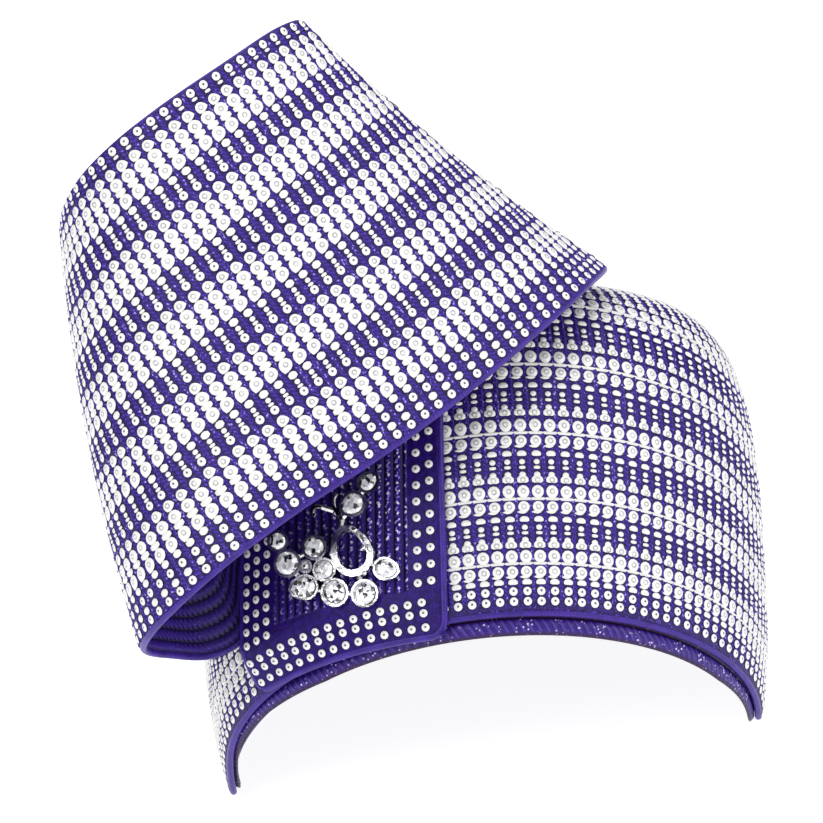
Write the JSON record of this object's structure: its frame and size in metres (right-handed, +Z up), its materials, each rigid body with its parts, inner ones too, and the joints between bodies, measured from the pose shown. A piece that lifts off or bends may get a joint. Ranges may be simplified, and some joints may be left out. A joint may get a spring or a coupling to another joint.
{
  "type": "church hat",
  "caption": "Tall violet braided church hat: deep round crown, standing looped side flap, front tab and a silver brooch with clear stones.",
  "frame": {"origin": "middle of the underside of the resting hat's box, at the height of the surface that it stands on", "axes": "+Z up from the surface, -Y towards the front of the hat, +X towards the wearer's left; the flap stands on the -X side"},
  "size_m": [0.1994, 0.1976, 0.23],
  "materials": {
    "braid_crown": "satin",
    "braid_flap": "satin",
    "binding": "satin",
    "tab_cloth": "satin",
    "silver": "polished",
    "crystal": "polished"
  },
  "bodies": {
    "root": {"crown": "braid_crown", "rim_binding": "binding", "flap": "braid_flap", "flap_lower_binding": "binding", "flap_upper_binding": "binding", "tab": "tab_cloth", "tab_binding": "binding", "brooch_frame": "silver", "stone_edge": "crystal", "stone_left": "crystal", "stone_top": "crystal", "stone_middle": "crystal", "stone_low": "crystal", "stone_right": "crystal", "stone_pear_left": "crystal", "stone_pear_right": "crystal", "stone_heart": "crystal", "stone_leaf": "crystal"}
  },
  "joints": []
}
